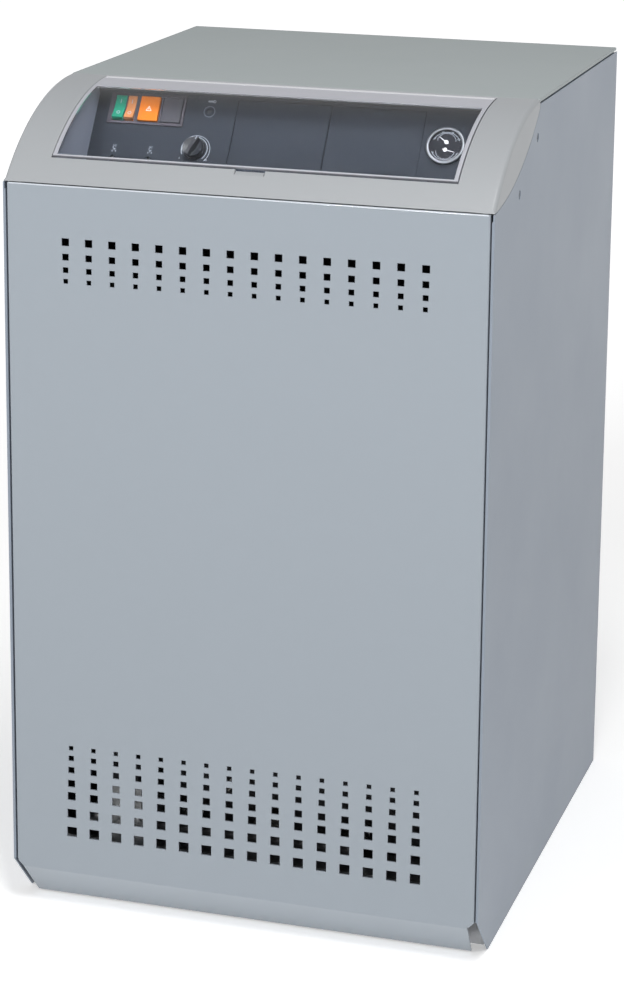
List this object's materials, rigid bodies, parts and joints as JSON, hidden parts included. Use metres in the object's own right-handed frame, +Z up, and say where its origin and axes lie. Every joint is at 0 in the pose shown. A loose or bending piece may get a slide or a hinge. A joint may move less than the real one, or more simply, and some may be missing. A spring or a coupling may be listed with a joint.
{
  "type": "gas boiler",
  "caption": "Floor-standing gas boiler: sheet cabinet with perforated door, curved hood, clear flap over the controls, iron heat exchanger and atmospheric burner assembly.",
  "frame": {"origin": "on the floor, under the middle of the whole object", "axes": "+Z up, the front door faces -Y, the flue and the pipes leave towards +Y"},
  "size_m": [0.509, 0.632, 0.867],
  "materials": {
    "door_paint": "satin silver powder coat",
    "side_paint": "satin silver powder coat",
    "lid_paint": "satin silver powder coat",
    "hood_plastic": "satin",
    "dark_plastic": "matte",
    "black_plastic": "satin",
    "clear_plastic": "clear, polished",
    "green_lens": "gloss",
    "amber_lens": "gloss",
    "orange_lens": "gloss",
    "chrome": "polished",
    "white_paint": "matte",
    "zinc": "zinc plated",
    "cast_iron": "as cast",
    "brass": "machined",
    "aluminium": "die cast",
    "stainless": "satin",
    "mineral_wool": "fibrous",
    "ceramic": "plain",
    "red_plastic": "satin"
  },
  "bodies": {
    "cabinet": {"base_frame": "zinc", "burner_plate": "zinc", "burner_tube_1": "stainless", "burner_tube_2": "stainless", "burner_tube_3": "stainless", "cable_gland": "black_plastic", "combustion_box": "zinc", "control_box": "zinc", "control_panel": "dark_plastic", "drain_cock": "brass", "flow_pipe": "stainless", "flue_collector": "zinc", "flue_spigot": "zinc", "gas_manifold": "stainless", "gas_pipe": "stainless", "gas_valve": "aluminium", "gauge_bezel": "chrome", "gauge_case": "black_plastic", "gauge_dial": "black_plastic", "gauge_glass": "clear_plastic", "hood": "hood_plastic", "ignition_electrode": "ceramic", "insulation_jacket": "mineral_wool", "iron_section_1": "cast_iron", "iron_section_2": "cast_iron", "iron_section_3": "cast_iron", "iron_section_4": "cast_iron", "knob_scale": "zinc", "left_blank_plate": "dark_plastic", "left_door_catch": "black_plastic", "left_flap_pin": "zinc", "left_lower_hood_screw": "zinc", "left_side_panel": "side_paint", "left_upper_hood_screw": "zinc", "lower_tie_rod": "zinc", "rear_panel": "side_paint", "reset_socket": "black_plastic", "return_pipe": "stainless", "right_blank_plate": "dark_plastic", "right_door_catch": "black_plastic", "right_flap_pin": "zinc", "right_lower_hood_screw": "zinc", "right_side_panel": "side_paint", "right_upper_hood_screw": "zinc", "switch_bezel": "black_plastic", "switch_blank": "black_plastic", "upper_tie_rod": "zinc", "valve_coil": "black_plastic"},
    "lid": {"lid": "lid_paint"},
    "door": {"front_door": "door_paint"},
    "flap": {"flap_frame": "hood_plastic", "flap_pane": "clear_plastic"},
    "mains_rocker": {"mains_rocker": "green_lens"},
    "season_rocker": {"season_rocker": "amber_lens"},
    "fault_button": {"fault_button": "orange_lens"},
    "reset_pin": {"reset_pin": "black_plastic"},
    "knob": {"thermostat_knob": "black_plastic"},
    "temperature_needle": {"temperature_needle": "white_paint"},
    "pressure_needle": {"pressure_needle": "white_paint"},
    "drain_handle": {"drain_handle": "red_plastic"}
  },
  "joints": [
    {"name": "lid_lift", "type": "slide", "parent": "cabinet", "child": "lid", "axis": [0, 0, 1], "range_m": [0, 0.08]},
    {"name": "door_pull", "type": "slide", "parent": "cabinet", "child": "door", "axis": [0, -1, 0], "range_m": [0, 0.12]},
    {"name": "flap_hinge", "type": "hinge", "parent": "cabinet", "child": "flap", "pos_m": [0, -0.1365, 0.86389], "axis": [-1, 0, 0], "range_deg": [0, 90]},
    {"name": "mains_rocker_tilt", "type": "hinge", "parent": "cabinet", "child": "mains_rocker", "pos_m": [-0.1862, -0.15922, 0.8353], "axis": [1, 0, 0], "range_deg": [0, 16]},
    {"name": "season_rocker_tilt", "type": "hinge", "parent": "cabinet", "child": "season_rocker", "pos_m": [-0.1738, -0.15922, 0.8353], "axis": [1, 0, 0], "range_deg": [0, 16]},
    {"name": "fault_button_push", "type": "slide", "parent": "cabinet", "child": "fault_button", "axis": [0, -0.829, 0.5592], "range_m": [-0.003, 0], "stiffness_N_per_m": 300, "springref_m": 0.001},
    {"name": "reset_pin_push", "type": "slide", "parent": "cabinet", "child": "reset_pin", "axis": [0, -0.829, 0.5592], "range_m": [-0.0015, 0], "stiffness_N_per_m": 300, "springref_m": 0.001},
    {"name": "knob_turn", "type": "hinge", "parent": "cabinet", "child": "knob", "pos_m": [-0.096, -0.18516, 0.8031], "axis": [0, -0.829, 0.5592], "range_deg": [-130, 140]},
    {"name": "temperature_needle_turn", "type": "hinge", "parent": "cabinet", "child": "temperature_needle", "pos_m": [0.1685, -0.17124, 0.82374], "axis": [0, -0.829, 0.5592], "range_deg": [-112, 50]},
    {"name": "pressure_needle_turn", "type": "hinge", "parent": "cabinet", "child": "pressure_needle", "pos_m": [0.1685, -0.17594, 0.81678], "axis": [0, -0.829, 0.5592], "range_deg": [-156, 10]},
    {"name": "drain_handle_turn", "type": "hinge", "parent": "cabinet", "child": "drain_handle", "pos_m": [0.15, -0.218, 0.229], "axis": [0, 0, 1], "range_deg": [0, 90]}
  ]
}
